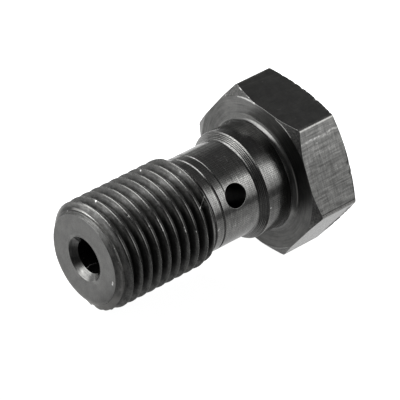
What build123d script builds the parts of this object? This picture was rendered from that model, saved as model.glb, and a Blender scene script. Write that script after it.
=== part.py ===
from build123d import *
import os
from math import atan2, cos, degrees, radians, sin, tan

# Hollow banjo bolt, M12 x 1.25, 17 mm across flats, millimetres.
# One piece of turned steel: chamfered and countersunk tip, right-hand thread, plain neck with a
# cross hole, turned collar, hexagon head chamfered on both faces.
# Stations are distances along the bolt's axis from the tip face.

# tip
tip_face_radius = 4.93
countersink_radius = 2.53
countersink_depth = 0.68
bore_radius = 1.85
bore_depth = 18.0
drill_point_angle = 118

# thread
thread_radius = 6.0
pitch = 1.25
root_radius = 5.233
root_flat = 0.208
first_crest = 0.814  # station of the crest at the +Y side of the bolt
thread_runout = 12.45  # the crests are full up to here
groove_end = 15.5  # the threading tool leaves the neck here

# neck and cross hole
neck_radius = 5.31
neck_end = 19.16
neck_fillet = 0.25
cross_hole_radius = 1.3
cross_hole_station = 16.47
cross_hole_angle = 143.3  # from the +Y side, turning up over the bolt

# collar
collar_start = 19.94
collar_radius = 6.07
collar_fillet = 0.7

# hexagon head
seat_station = 23.5
length = 29.5
across_flats = 17.0
hex_edge_radius = 0.4
seat_radius = 8.65
seat_chamfer_angle = 27
crown_radius = 7.93
crown_chamfer_angle = 21.2

# The bolt lies on the seat-side edge of one flat and on the thread's first full crest.
rest_crest = first_crest + 0.75 * pitch - pitch / 16
tilt = atan2(across_flats / 2 - thread_radius, seat_station - rest_crest)
along = Vector(cos(tilt), 0, sin(tilt))
upward = Vector(-sin(tilt), 0, cos(tilt))
tip_x = (tip_face_radius * sin(tilt) - length * cos(tilt) - crown_radius * sin(tilt)) / 2
tip_z = across_flats / 2 * cos(tilt) - seat_station * sin(tilt)
tip = Vector(tip_x, 0, tip_z)
bolt_axis = Axis(tip, along)

# The half section is drawn with x along the bolt and y outwards.
half_section = Plane(origin=tip, x_dir=along, z_dir=upward)
seat_plane = Plane(origin=tip + along * seat_station, x_dir=(0, 1, 0), z_dir=along)

# the threading tool starts above the axis, two turns before the tip
flank = tan(radians(30))
tool_top = thread_radius + 0.1
tool_start = first_crest - pitch / 2 + pitch / 4 - 2 * pitch
tool_origin = tip + along * tool_start
tool_plane = Plane(origin=tool_origin, x_dir=along, z_dir=(0, -1, 0))

cross_direction = Vector(0, cos(radians(cross_hole_angle)), 0) + upward * sin(
    radians(cross_hole_angle)
)
cross_plane = Plane(
    origin=tip + along * cross_hole_station, x_dir=along, z_dir=cross_direction
)

with BuildPart() as banjo_bolt:
    # round bar under the head
    with BuildSketch(half_section):
        with BuildLine():
            Polyline(
                (-4, 0), (-4, thread_radius), (seat_station, thread_radius), (seat_station, 0), close=True
            )
        make_face()
    revolve(axis=bolt_axis)

    # thread groove, 60 degree flanks
    with BuildLine() as tool_path:
        Helix(
            pitch=pitch,
            height=groove_end - tool_start,
            radius=thread_radius,
            center=tool_origin,
            direction=along,
        )
    with BuildSketch(tool_plane):
        with BuildLine():
            tool_half = root_flat / 2 + flank * (tool_top - root_radius)
            Polyline(
                (-root_flat / 2, root_radius),
                (root_flat / 2, root_radius),
                (tool_half, tool_top),
                (-tool_half, tool_top),
                close=True,
            )
        make_face()
    sweep(path=tool_path.line, is_frenet=True, mode=Mode.SUBTRACT)

    # tip face and its 45 degree chamfer
    with BuildSketch(half_section):
        with BuildLine():
            Polyline(
                (-6, 0),
                (0, 0),
                (0, tip_face_radius),
                (thread_radius + 1 - tip_face_radius, thread_radius + 1),
                (-6, thread_radius + 1),
                close=True,
            )
        make_face()
    revolve(axis=bolt_axis, mode=Mode.SUBTRACT)

    # neck, turned below the thread, with 45 degree ends
    with BuildSketch(half_section):
        with BuildLine():
            drop = thread_radius + 1 - neck_radius
            Polyline(
                (thread_runout - 1, thread_radius + 1),
                (thread_runout - 1 + drop, neck_radius),
                (neck_end, neck_radius),
                (neck_end + drop, thread_radius + 1),
                close=True,
            )
        make_face()
    revolve(axis=bolt_axis, mode=Mode.SUBTRACT)

    # collar with a concave fillet into the seat
    with BuildSketch(half_section):
        with BuildLine():
            slope = (collar_radius - neck_radius) / (collar_start - neck_end)
            FilletPolyline(
                (neck_end - 1, neck_radius - 0.5),
                (neck_end - 1, neck_radius),
                (neck_end, neck_radius),
                (collar_start, collar_radius),
                (seat_station, collar_radius),
                (seat_station, collar_radius + 1),
                (seat_station + 1, collar_radius + 1),
                radius=(0, neck_fillet, 0, collar_fillet, 0),
            )
            Polyline(
                (seat_station + 1, collar_radius + 1),
                (seat_station + 1, neck_radius - 0.5),
                (neck_end - 1, neck_radius - 0.5),
            )
        make_face()
    revolve(axis=bolt_axis)

    # axial bore with its countersink and drill point
    with BuildSketch(half_section):
        with BuildLine():
            Polyline(
                (-1, 0),
                (-1, countersink_radius),
                (0, countersink_radius),
                (countersink_depth, bore_radius),
                (bore_depth, bore_radius),
                (bore_depth + bore_radius / tan(radians(drill_point_angle / 2)), 0),
                close=True,
            )
        make_face()
    revolve(axis=bolt_axis, mode=Mode.SUBTRACT)

    # cross hole through both walls of the neck
    with BuildSketch(cross_plane):
        Circle(cross_hole_radius)
    extrude(amount=neck_radius + 2, both=True, mode=Mode.SUBTRACT)

with BuildPart() as head:
    # hexagon with a flat downwards and lightly rounded edges
    with BuildSketch(seat_plane):
        RegularPolygon(radius=across_flats / 2, side_count=6, major_radius=False)
    extrude(amount=length - seat_station)
    fillet(head.edges().filter_by(bolt_axis), radius=hex_edge_radius)
    # both faces chamfered at the corners
    with BuildSketch(half_section):
        with BuildLine():
            reach = across_flats / 2 * 1.2
            Polyline(
                (seat_station, 0),
                (seat_station, seat_radius),
                (
                    seat_station + (reach - seat_radius) * tan(radians(seat_chamfer_angle)),
                    reach,
                ),
                (length - (reach - crown_radius) * tan(radians(crown_chamfer_angle)), reach),
                (length, crown_radius),
                (length, 0),
                close=True,
            )
        make_face()
    revolve(axis=bolt_axis, mode=Mode.INTERSECT)

with banjo_bolt:
    add(head.part)

os.makedirs("parts", exist_ok=True)
banjo_bolt.part.label = "banjo_bolt"
export_step(banjo_bolt.part, "parts/banjo_bolt.step")

box = banjo_bolt.part.bounding_box()
print("tilt", round(degrees(tilt), 3), "tip", tip)
print("box", box)
print("valid", banjo_bolt.part.is_valid, "volume", banjo_bolt.part.volume)
print("faces", len(banjo_bolt.part.faces()), "solids", len(banjo_bolt.part.solids()))
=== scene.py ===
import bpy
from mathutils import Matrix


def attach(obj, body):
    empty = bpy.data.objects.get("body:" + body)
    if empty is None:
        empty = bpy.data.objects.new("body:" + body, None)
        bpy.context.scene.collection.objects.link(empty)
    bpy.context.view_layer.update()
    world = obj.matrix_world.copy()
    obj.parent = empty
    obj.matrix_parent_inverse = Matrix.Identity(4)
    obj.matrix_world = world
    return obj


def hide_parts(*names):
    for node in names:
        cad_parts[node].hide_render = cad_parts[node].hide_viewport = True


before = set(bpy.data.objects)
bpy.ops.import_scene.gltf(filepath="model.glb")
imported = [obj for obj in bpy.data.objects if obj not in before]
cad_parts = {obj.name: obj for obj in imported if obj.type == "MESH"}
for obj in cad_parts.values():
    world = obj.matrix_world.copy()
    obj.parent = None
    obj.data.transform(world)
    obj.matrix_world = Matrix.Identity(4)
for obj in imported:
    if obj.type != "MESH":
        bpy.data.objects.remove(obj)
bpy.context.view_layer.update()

from math import acos, atan2, cos, degrees, pi, radians, sin, sqrt, tan

import bpy
import numpy as np
from mathutils import Matrix, Vector
from mathutils.geometry import delaunay_2d_cdt

# ---------------------------------------------------------------------------
# The bolt's sizes in mm, the same as in the CAD source. Stations run along the
# bolt's axis from the tip face; angles turn from +Y up over the bolt.
# ---------------------------------------------------------------------------
TIP_FACE, SINK_R, SINK_DEPTH, BORE_R, BORE_DEPTH = 4.93, 2.53, 0.68, 1.85, 18.0
THREAD_R, PITCH, ROOT_R, ROOT_FLAT, FIRST_CREST, RUNOUT = 6.0, 1.25, 5.233, 0.208, 0.814, 12.45
NECK_R, NECK_END, HOLE_R, HOLE_S, HOLE_ANGLE = 5.31, 19.16, 1.3, 16.47, radians(143.3)
COLLAR_START, COLLAR_R, COLLAR_FILLET = 19.94, 6.07, 0.7
SEAT, LENGTH, FLATS, HEX_ROUND = 23.5, 29.5, 17.0, 0.4
SEAT_R, SEAT_CHAMFER, CROWN_R, CROWN_CHAMFER = 8.65, radians(27), 7.93, radians(21.2)

REST_CREST = FIRST_CREST + 0.75 * PITCH - PITCH / 16
TILT = atan2(FLATS / 2 - THREAD_R, SEAT - REST_CREST)
ALONG = np.array([cos(TILT), 0, sin(TILT)])
UPWARD = np.array([-sin(TILT), 0, cos(TILT)])
TIP = np.array(
    [
        (TIP_FACE * sin(TILT) - LENGTH * cos(TILT) - CROWN_R * sin(TILT)) / 2,
        0,
        FLATS / 2 * cos(TILT) - SEAT * sin(TILT),
    ]
)
TAU = 2 * pi
COLUMNS = 216  # around the shank
BORE_COLUMNS = 108
ROOT3 = sqrt(3)

THREAD, TURNED, FLAT, DARK = range(4)  # the material slots


# ---------------------------------------------------------------------------
# Collecting the skin
# ---------------------------------------------------------------------------
class Skin:
    """Patches of one closed skin. Each patch has points and normals in the bolt's own frame, how worn each point is,
    with painted highlights and shade folded in, and faces.
    """

    def __init__(self):
        self.points, self.normals, self.wear_glint_and_shade = [], [], []
        self.faces, self.kinds, self.count = [], [], 0

    def add(self, points, normals, faces, kind, wear_glint_and_shade=None):
        points = np.asarray(points, float).reshape(-1, 3)
        normals = np.asarray(normals, float).reshape(-1, 3)
        normals = normals / np.linalg.norm(normals, axis=1)[:, None]
        self.points.append(points)
        self.normals.append(normals)
        self.wear_glint_and_shade.append(np.zeros(len(points)) if wear_glint_and_shade is None else np.asarray(wear_glint_and_shade, float).ravel())
        kinds = np.broadcast_to(kind, len(faces))
        for f, k in zip(faces, kinds):
            self.faces.append([i + self.count for i in f])
            self.kinds.append(int(k))
        self.count += len(points)


def around(s, r, angle):
    """Points at stations s, radii r and angles, arrays of one shape."""
    s, r, angle = np.broadcast_arrays(s, r, angle)
    return np.stack([s, r * np.cos(angle), r * np.sin(angle)], -1)


def grid_faces(rows, columns, wrap=True):
    faces = []
    last = columns if wrap else columns - 1
    for i in range(rows - 1):
        for j in range(last):
            k = (j + 1) % columns
            faces.append(
                [i * columns + j, i * columns + k, (i + 1) * columns + k, (i + 1) * columns + j]
            )
    return faces


def revolved(skin, profile, columns, kind):
    """Turns a profile of rows (s, r, normal s, normal r, wear) about the axis."""
    rows = np.array(profile)
    angle = np.arange(columns) * TAU / columns
    s, r, ns, nr, wear_glint_and_shade = (rows[:, i][:, None] for i in range(5))
    points = around(s, r, angle[None, :])
    normals = around(ns, nr, angle[None, :])
    kinds = kind
    if not np.isscalar(kind):
        kinds = np.repeat(np.asarray(kind)[:-1], columns)
    skin.add(points, normals, grid_faces(len(rows), columns), kinds, wear_glint_and_shade + 0 * angle[None, :])


def drawn(corners, radii, steps=6, wear_glint_and_shade=0.0, rows=()):
    """Rows of a profile through corners (s, r) with rounded corners. The material is on the right of the path. rows gives, for each straight part, how many extra rows it has."""
    corners = [np.array(c, float) for c in corners]
    out = []

    def normal(t):
        return np.array([-t[1], t[0]])

    ends = [corners[0]]
    arcs = []
    for i in range(1, len(corners) - 1):
        a, b, c = corners[i - 1], corners[i], corners[i + 1]
        u, v = (b - a) / np.linalg.norm(b - a), (c - b) / np.linalg.norm(c - b)
        turn = atan2(u[0] * v[1] - u[1] * v[0], u @ v)
        reach = radii[i] * abs(tan(turn / 2))
        p, q = b - u * reach, b + v * reach
        side = 1 if turn > 0 else -1
        centre = p + normal(u) * radii[i] * side
        arc = []
        if radii[i] > 0:
            for k in range(steps + 1):
                w = k / steps
                x = turn * w
                t = np.array([u[0] * cos(x) - u[1] * sin(x), u[0] * sin(x) + u[1] * cos(x)])
                n = normal(t)
                point = centre - n * radii[i] * side
                arc.append((point, n, sin(pi * w) if side < 0 else 0.0))
        else:
            arc = [(b, normal(u), 1.0), (b, normal(v), 1.0)]
        arcs.append(arc)
    for i in range(len(corners) - 1):
        start = arcs[i - 1][-1][0] if i > 0 else corners[0]
        end = arcs[i][0][0] if i < len(arcs) else corners[-1]
        t = (corners[i + 1] - corners[i]) / np.linalg.norm(corners[i + 1] - corners[i])
        n = normal(t)
        if i == 0:
            out.append((start[0], start[1], n[0], n[1], 0.0))
        bare_and_glints = rows[i] if i < len(rows) else 0
        for k in range(1, bare_and_glints + 1):
            p = start + (end - start) * k / (bare_and_glints + 1)
            out.append((p[0], p[1], n[0], n[1], 0.0))
        if i < len(arcs):
            for p, m, w in arcs[i]:
                out.append((p[0], p[1], m[0], m[1], w * wear_glint_and_shade))
        else:
            out.append((end[0], end[1], n[0], n[1], 0.0))
    return out


def stitched(skin, s, r1, angles1, r2, angles2, kind):
    """A flat ring at station s between two circles of points with their own angles, in ascending order."""
    a, b = np.asarray(angles1, float), np.asarray(angles2, float)
    r1, r2 = np.broadcast_to(r1, len(a)), np.broadcast_to(r2, len(b))
    side = -1.0 if s < LENGTH / 2 or s == SEAT else 1.0
    points = np.concatenate([around(s, r1, a), around(s, r2, b)])
    normals = np.tile([side, 0, 0], (len(points), 1))
    faces = []
    i = j = 0
    n, m = len(a), len(b)
    while i < n or j < m:
        next_a = a[(i + 1) % n] + (TAU if i + 1 >= n else 0)
        next_b = b[(j + 1) % m] + (TAU if j + 1 >= m else 0)
        if j >= m or (i < n and next_a <= next_b):
            faces.append([i % n, (i + 1) % n, n + j % m])
            i += 1
        else:
            faces.append([i % n, n + (j + 1) % m, n + j % m])
            j += 1
    skin.add(points, normals, faces, kind)


def waves(seed, count, longest, shortest):
    """A smooth repeatable unevenness, about -1 to 1, over two coordinates in mm."""
    random = np.random.RandomState(seed)
    length = longest * (shortest / longest) ** random.rand(count)
    heading = random.rand(count) * pi
    phase = random.rand(count) * TAU
    size = length**0.6
    size = size / sqrt((size**2).sum() / 2)

    def at(x, y):
        total = 0
        for l, h, p, a in zip(length, heading, phase, size):
            total = total + a * np.sin(TAU * (x * cos(h) + y * sin(h)) / l + p)
        return total * 0.5

    return at


# ---------------------------------------------------------------------------
# The shank: chamfered tip, thread, neck with its two hole mouths
# ---------------------------------------------------------------------------
SHANK_START, SHANK_END = 0.03, 18.6
wander = waves(3, 9, 9.0, 1.6)
ripple = waves(5, 12, 2.2, 0.5)


def soft_min(a, b, k):
    h = np.maximum(k - np.abs(a - b), 0) / k
    return np.minimum(a, b) - h * h * k / 4


def soft_max(a, b, k):
    return -soft_min(-a, -b, k)


def late(angle):
    """How much later the thread's bar ends at this angle."""
    turn = np.degrees(angle) % 360
    return np.interp(turn, [0, 45, 62, 70, 82, 96, 150, 185, 230, 360], [0.1, 0.1, 0.0, -0.1, -0.08, 0.0, 0.0, -0.06, 0.0, 0.1])


def crest_top(s, angle):
    """The bar's radius: the thread's last crest is worn lower on one side."""
    turn = np.degrees(angle) % 360
    worn = np.interp(turn, [135, 150, 160, 195, 215], [0.0, 0.8, 1.0, 1.0, 0.0])
    return THREAD_R - 0.22 * worn * np.clip((s - 12.1) / 0.2, 0, 1)


def bar_sharp(s, angle):
    return np.minimum(
        np.minimum(TIP_FACE + s, crest_top(s, angle)), np.maximum(THREAD_R - (s - RUNOUT - late(angle)), NECK_R)
    )


def bar(s, angle):
    tail = soft_max(THREAD_R - (s - RUNOUT - late(angle)), NECK_R + 0 * s, 0.12)
    return soft_min(soft_min(TIP_FACE + s, crest_top(s, angle), 0.07), tail, 0.03)


def drift(centre):
    """How far the threading tool's last turns fall short of the thread's pitch."""
    return np.interp(
        centre,
        [12.2, 12.6, 13.0, 13.14, 13.21, 13.35, 13.5, 14.2, 14.36, 15.42, 15.5, 15.64],
        [0.0, 0.04, 0.09, 0.1, 0.065, 0.06, 0.07, 0.155, 0.135, 0.29, 0.285, 0.32],
    )


def cut(x, centre, soft=0.0):
    """Radius of the thread's groove at a distance x from its middle. Past the thread the tool backs out and leaves a narrow trace."""
    full = ROOT_R + ROOT3 * np.maximum(np.abs(x) - ROOT_FLAT / 2, 0)
    if soft:
        full = soft_max(ROOT_R + 0 * x, ROOT_R + ROOT3 * (np.abs(x) - ROOT_FLAT / 2), soft)
    depth = np.interp(
        centre,
        [12.6, 12.95, 13.06, 13.14, 13.3, 14.1, 14.18, 14.25, 14.36, 14.7, 15.42, 15.47, 15.5, 15.54, 15.7, 15.76],
        [0.09, 0.03, 0.05, 0.09, 0.1, 0.1, 0.115, 0.09, 0.112, 0.095, 0.095, 0.08, 0.055, 0.05, 0.045, -0.02],
    )
    depth = depth - np.clip(centre - 15.76, 0, None) * 2
    tool = 0.012 if soft else 0.0
    trace = NECK_R - depth + 0.85 * (np.sqrt(x * x + tool**2) - tool)
    trace = trace + 1.8 * np.maximum(np.abs(x) - np.maximum(depth, 0) / 0.85 - 0.03, 0)
    w = np.clip((centre - 12.5) / 0.6, 0, 1)
    return full + (trace - full) * w


def unevenness(s, angle):
    x, y = s, 6.0 * angle
    # periodic round the bolt
    u, v = 6.0 * np.cos(angle), 6.0 * np.sin(angle)
    return wander(x + 0.7 * u, v), ripple(x * 1.4 + u, v)


def groove_radius(s, angle):
    x = s - (FIRST_CREST - PITCH / 2) - PITCH * angle / TAU
    slow, quick = unevenness(s, angle)
    middle = s - x + np.round(x / PITCH) * PITCH
    r = 99.0
    for centre in (middle, middle + PITCH):
        r = np.minimum(r, cut(s - centre + drift(centre) + 0.004 * slow, centre, 0.06))
    return r + np.where(s < 13.3, 0.008, 0.003) * quick + 0.004 * slow


HOLE_ROUND = 0.07


def shank_radius(s, angle):
    slow, _ = unevenness(s, angle)
    own = bar(s, angle) - 0.004 * (1 + slow) * np.clip((s - 0.1) / 0.5, 0, 1) * (s < RUNOUT)
    return soft_min(own, groove_radius(s, angle), np.interp(s, [12.1, 12.35], [0.07, 0.03]))


def shank_normal(s, angle):
    e, f = 0.0015, 0.0005
    r = shank_radius(s, angle)
    rs = (shank_radius(s + e, angle) - shank_radius(s - e, angle)) / (2 * e)
    rt = (shank_radius(s, angle + f) - shank_radius(s, angle - f)) / (2 * f)
    c, v = np.cos(angle), np.sin(angle)
    return np.stack([-rs, c + rt / r * v, v - rt / r * c], -1)


def hole_distance(s, angle, r, hole):
    """Distance from the axis of the cross hole's mouth at this angle, far away on the other side."""
    across = r * np.sin(angle - hole)
    front = np.cos(angle - hole) > 0
    return np.where(front, np.hypot(s - HOLE_S, across), 99.0)


def triangulated(s, angle, edges, voids, size, kind, skin, locate):
    """Triangles over points on a round surface, unrolled as rings in the plane. voids are lists of points round an
    opening; locate gives points, normals and wear, with painted highlights, from s and angle.
    """
    middle = (s.min() + s.max()) / 2
    rho = np.exp((s - middle) / size)
    plane = [Vector((x, y)) for x, y in zip(rho * np.cos(angle), rho * np.sin(angle))]
    made = delaunay_2d_cdt(plane, [tuple(e) for e in edges], [], 0, 1e-7, True)
    found = np.array([tuple(v) for v in made[0]])
    n = len(found)
    origin = np.array([o[0] if len(o) else -1 for o in made[3]])
    s2 = middle + size * np.log(np.hypot(found[:, 0], found[:, 1]))
    a2 = np.arctan2(found[:, 1], found[:, 0]) % TAU
    old = origin >= 0
    s2[old], a2[old] = s[origin[old]], angle[origin[old]]
    owner = np.full(n, -1)
    member = np.full(len(s), -1)
    for k, v in enumerate(voids):
        member[list(v)] = k
    owner[old] = member[origin[old]]
    tri = np.array(made[2])
    own = owner[tri]
    keep = ~((own[:, 0] >= 0) & (own[:, 0] == own[:, 1]) & (own[:, 1] == own[:, 2]))
    tri = tri[keep]
    points, normals, wear_glint_and_shade = locate(s2, a2, origin)
    kinds = kind(s2[tri].mean(1)) if callable(kind) else kind
    skin.add(points, normals, tri.tolist(), kinds, wear_glint_and_shade)


def shank(skin):
    step = TAU / COLUMNS
    first = int(np.floor(-0.8 * COLUMNS))
    last = int(np.ceil((15.76 - FIRST_CREST + PITCH / 2) / PITCH * COLUMNS))
    index = np.arange(first, last + 1)
    turned = index * step
    nominal = FIRST_CREST - PITCH / 2 + PITCH * turned / TAU
    centre = nominal - drift(nominal)
    x = np.arange(-0.75, 0.75, 0.0005)
    left = np.full(len(index), np.nan)
    right = np.full(len(index), np.nan)
    for i, c in enumerate(centre):
        inside = (cut(x, nominal[i]) < bar_sharp(c + x, turned[i])) & (c + x > SHANK_START)
        inside &= np.abs(x) < PITCH / 2 - 0.01
        if inside.sum() > 60:
            k = np.flatnonzero(inside)
            left[i], right[i] = x[k[0]], x[k[-1]]
    s_list, a_list, w_list, edges = [], [], [], []

    def put(s, angle, wear_glint_and_shade=0.0):
        s_list.append(float(s))
        a_list.append(float(angle))
        w_list.append(float(wear_glint_and_shade))
        return len(s_list) - 1

    def near_hole(s, angle, reach):
        r = NECK_R
        d = min(
            hole_distance(s, angle, r, HOLE_ANGLE).item(),
            hole_distance(s, angle, r, HOLE_ANGLE + pi).item(),
        )
        return d < reach

    # rings at the two ends
    start_ring = [put(SHANK_START, j * step) for j in range(COLUMNS)]
    end_ring = [put(SHANK_END, j * step) for j in range(COLUMNS)]
    for ring in (start_ring, end_ring):
        edges += [(ring[j], ring[(j + 1) % COLUMNS]) for j in range(COLUMNS)]

    # rows that follow the helix
    # the rows at the grooves' edges carry wear that is partly rubbed edge, partly painted highlight line
    soft = ((-0.072, 0.0), (-0.04, 0.0), (-0.012, 0.12), (0.016, 0.3), (0.046, 0.2))

    def rows_at(i):
        out = {}
        lo, hi = left[i], right[i]
        if np.isnan(lo):
            # the crest between two grooves, or plain bar
            return out
        narrow = nominal[i] > 12.9
        for x0 in (0, -0.026, 0.026) if narrow else (0, -0.075, 0.075, -0.11, 0.11, -0.145, 0.145):
            if lo + (0.02 if narrow else 0.05) < x0 < hi - (0.02 if narrow else 0.05):
                out["f%g" % x0] = (x0, 0.0)
        for name, end, sign in (("L", lo, -1), ("R", hi, 1)):
            if abs(end) > 0.26:
                for q in (0.5,):
                    out[name + "q%g" % q] = (sign * 0.14 + q * (end - sign * 0.14), 0.0)
            for off, wear_glint_and_shade in soft:
                # off is measured outwards from the groove
                if off < 0 and hi - lo < 0.16:
                    continue
                out[name + "e%g" % off] = (end + sign * off, wear_glint_and_shade)
        return out

    previous = {}
    for i, m in enumerate(index):
        angle = (m % COLUMNS) * step
        here = {}
        rows = rows_at(i)
        c = centre[i]
        crest = c + PITCH / 2
        if 0.35 < crest < 13.0:
            rows["crest"] = (PITCH / 2, 0.1)
        for name, (x0, wear_glint_and_shade) in rows.items():
            s = c + x0
            if not SHANK_START + 0.02 < s < SHANK_END - 0.1 or near_hole(s, angle, HOLE_R + 0.13):
                continue
            if name == "crest":
                # only where the bar is wide enough beside both grooves
                r1 = i
                r2 = i + COLUMNS
                ok = True
                if not np.isnan(right[r1]) and s - (c + right[r1]) < 0.062:
                    ok = False
                if r2 < len(index) and not np.isnan(left[r2]) and (centre[r2] + left[r2]) - s < 0.062:
                    ok = False
                if not ok:
                    continue
            fade = 1.0 if s < 13.3 else 0.35
            if s < 0.8:
                fade = 1.3
            here[name] = put(s, angle, wear_glint_and_shade * fade)
            if name in previous:
                edges.append((previous[name], here[name]))
        previous = here

    # plain rings, kept away from the grooves
    lows = centre + left
    highs = centre + right

    def in_groove(s, j, margin):
        for jj in (int(np.floor(j)), int(np.ceil(j))):
            i = (jj % COLUMNS) - first
            i = i % COLUMNS
            spots = np.arange(i, len(index), COLUMNS)
            lo, hi = lows[spots], highs[spots]
            if np.any((s > lo - margin) & (s < hi + margin)):
                return True
            # the crest row itself
            mids = centre[spots] + PITCH / 2
            if np.any(np.abs(s - mids) < 0.03):
                return True
        return False

    rings = [(s, 0.058) for s in np.arange(0.1, 0.99, 0.08)]
    rings += [(s, 0.05) for s in (1.02, 1.045, 1.07, 1.095, 1.12)]
    rings += [(s, 0.05) for s in (12.4, 12.425, 12.45, 12.475, 12.5)]
    rings += [(s, 0.058) for s in (12.6, 12.7, 12.8, 12.9, 13.0, 13.06, 13.1, 13.14, 13.18, 13.22, 13.28)]
    rings += [(s, 0.07) for s in np.arange(13.4, 18.5, 0.26)]
    for n, (s, margin) in enumerate(rings):
        shift = 0.5 * (n % 2)
        # rubbed rings at the chamfer's end and at the thread's end, their bare colour partly painted highlight
        wear_glint_and_shade = {1.045: 0.1, 1.07: 0.2, 1.095: 0.1}.get(s, 0.0)
        wear_glint_and_shade = {12.4: 0.1, 12.425: 0.3, 12.45: 0.5, 12.475: 0.3}.get(s, wear_glint_and_shade)
        for j in range(COLUMNS):
            angle = ((j + shift) * step) % TAU
            if near_hole(s, angle, HOLE_R + 0.36) or in_groove(s, j + shift, margin):
                continue
            put(s, angle, wear_glint_and_shade)

    # the mouths of the cross hole
    mouths = []
    special = {}
    for hole in (HOLE_ANGLE, (HOLE_ANGLE + pi) % TAU):
        turns = np.arange(64) * TAU / 64
        loops = []
        beta = [0, 22.5, 45, 67.5, 90]
        reach = [HOLE_R + HOLE_ROUND * (1 - cos(radians(b))) for b in beta] + [1.41, 1.5, 1.62]
        for k, q in enumerate(reach):
            ids = []
            shift = 0.0 if k < 5 else 0.5 * (k % 2)
            for t in turns + shift * TAU / 64:
                s = HOLE_S + q * cos(t)
                r = NECK_R
                angle = hole + np.arcsin(q * sin(t) / r)
                for _ in range(3):
                    r = float(shank_radius(np.array(s), np.array(angle % TAU)))
                    angle = hole + np.arcsin(q * sin(t) / r)
                node = put(s, angle % TAU, {0: 0.2, 1: 0.6, 2: 1.0, 3: 0.8, 4: 0.3}.get(k, 0.0) * 0.15)
                ids.append(node)
                if k < 5:
                    special[node] = (hole, t, radians(beta[k]), r)
            if k < 5:
                edges.extend((ids[n], ids[(n + 1) % 64]) for n in range(64))
            loops.append(ids)
        mouths.append(loops[0])

    s = np.array(s_list)
    angle = np.array(a_list)
    wear_glint_and_shade = np.array(w_list)

    def locate(s2, a2, origin):
        r = shank_radius(s2, a2)
        normals = shank_normal(s2, a2)
        normals = normals / np.linalg.norm(normals, axis=1)[:, None]
        points = around(s2, r, a2)
        worn = np.where(origin >= 0, wear_glint_and_shade[np.maximum(origin, 0)], 0.0)
        where = {o: i for i, o in enumerate(origin) if o >= 0}
        for node, (hole, t, b, _) in special.items():
            i = where[node]
            out = np.array([0, cos(hole), sin(hole)])
            side = np.array([0, -sin(hole), cos(hole)])
            radial = np.array([cos(t), 0, 0]) + side * sin(t)
            q = HOLE_R + HOLE_ROUND * (1 - cos(b))
            along_hole = r[i] * cos(a2[i] - hole) - HOLE_ROUND * (1 - sin(b))
            points[i] = np.array([HOLE_S, 0, 0]) + radial * q + out * along_hole
            normals[i] = -radial * cos(b) + normals[i] * sin(b)
        return points, normals, worn

    triangulated(
        s,
        angle,
        edges,
        [start_ring, *mouths],
        5.9,
        lambda m: np.where(m < 12.55, THREAD, TURNED),
        skin,
        locate,
    )

    # the walls of the cross hole, from each mouth to the bore
    for hole in (HOLE_ANGLE, (HOLE_ANGLE + pi) % TAU):
        out = np.array([0, cos(hole), sin(hole)])
        side = np.array([0, -sin(hole), cos(hole)])
        turns = np.arange(64) * TAU / 64
        tops = []
        for t in turns:
            r = NECK_R
            angle_t = hole + np.arcsin(HOLE_R * sin(t) / r)
            for _ in range(3):
                r = float(shank_radius(np.array(HOLE_S + HOLE_R * cos(t)), np.array(angle_t % TAU)))
                angle_t = hole + np.arcsin(HOLE_R * sin(t) / r)
            tops.append(r * cos(angle_t - hole) - HOLE_ROUND)
        tops = np.array(tops)
        foot = np.sqrt(BORE_R**2 - (HOLE_R * np.sin(turns)) ** 2)
        radial = np.cos(turns)[:, None] * np.array([1.0, 0, 0]) + np.sin(turns)[:, None] * side
        points, normals = [], []
        for q in np.linspace(0, 1, 9):
            height = tops + (foot - tops) * q
            points.append(np.array([HOLE_S, 0, 0]) + radial * HOLE_R + height[:, None] * out)
            normals.append(-radial)
        skin.add(np.array(points), np.array(normals), grid_faces(9, 64), DARK)


def bore(skin):
    s_list, a_list, edges = [], [], []

    def put(s, angle):
        s_list.append(float(s))
        a_list.append(float(angle % TAU))
        return len(s_list) - 1

    step = TAU / BORE_COLUMNS
    rings = []
    for s in (SINK_DEPTH, BORE_DEPTH):
        ids = [put(s, j * step) for j in range(BORE_COLUMNS)]
        edges += [(ids[j], ids[(j + 1) % BORE_COLUMNS]) for j in range(BORE_COLUMNS)]
        rings.append(ids)
    mouths = []
    for hole in (HOLE_ANGLE, (HOLE_ANGLE + pi) % TAU):
        ids = []
        for t in np.arange(64) * TAU / 64:
            ids.append(
                put(HOLE_S + HOLE_R * cos(t), hole + np.arcsin(HOLE_R * sin(t) / BORE_R))
            )
        edges += [(ids[n], ids[(n + 1) % 64]) for n in range(64)]
        mouths.append(ids)
    for n, s in enumerate(np.arange(SINK_DEPTH + 0.4, BORE_DEPTH - 0.1, 0.42)):
        for j in range(0, BORE_COLUMNS, 2):
            angle = (j + (n % 2)) * step
            if any(
                hole_distance(np.array(s), np.array(angle), BORE_R, h) < HOLE_R + 0.12
                for h in (HOLE_ANGLE, HOLE_ANGLE + pi)
            ):
                continue
            put(s, angle)
    s, angle = np.array(s_list), np.array(a_list)

    def locate(s2, a2, origin):
        return around(s2, BORE_R, a2), around(0.0, -1.0, a2), None

    triangulated(s, angle, edges, [rings[0], *mouths], 4.0, DARK, skin, locate)


# ---------------------------------------------------------------------------
# The hexagon head
# ---------------------------------------------------------------------------
EDGE_ROUND = 0.07


def hexagon(angle):
    """Radius of the rounded hexagon at an angle, with a flat facing up at 90 degrees."""
    x = (np.degrees(angle) - 90 + 30) % 60 - 30
    x = np.radians(np.abs(x))
    apothem = FLATS / 2
    limit = np.arctan((apothem - HEX_ROUND) * tan(pi / 6) / apothem)
    flat = apothem / np.cos(x)
    d = (apothem - HEX_ROUND) / cos(pi / 6)
    bend = pi / 6 - x
    rounded = d * np.cos(bend) + np.sqrt(np.maximum(HEX_ROUND**2 - (d * np.sin(bend)) ** 2, 0))
    return np.where(x > limit, rounded, flat)


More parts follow.
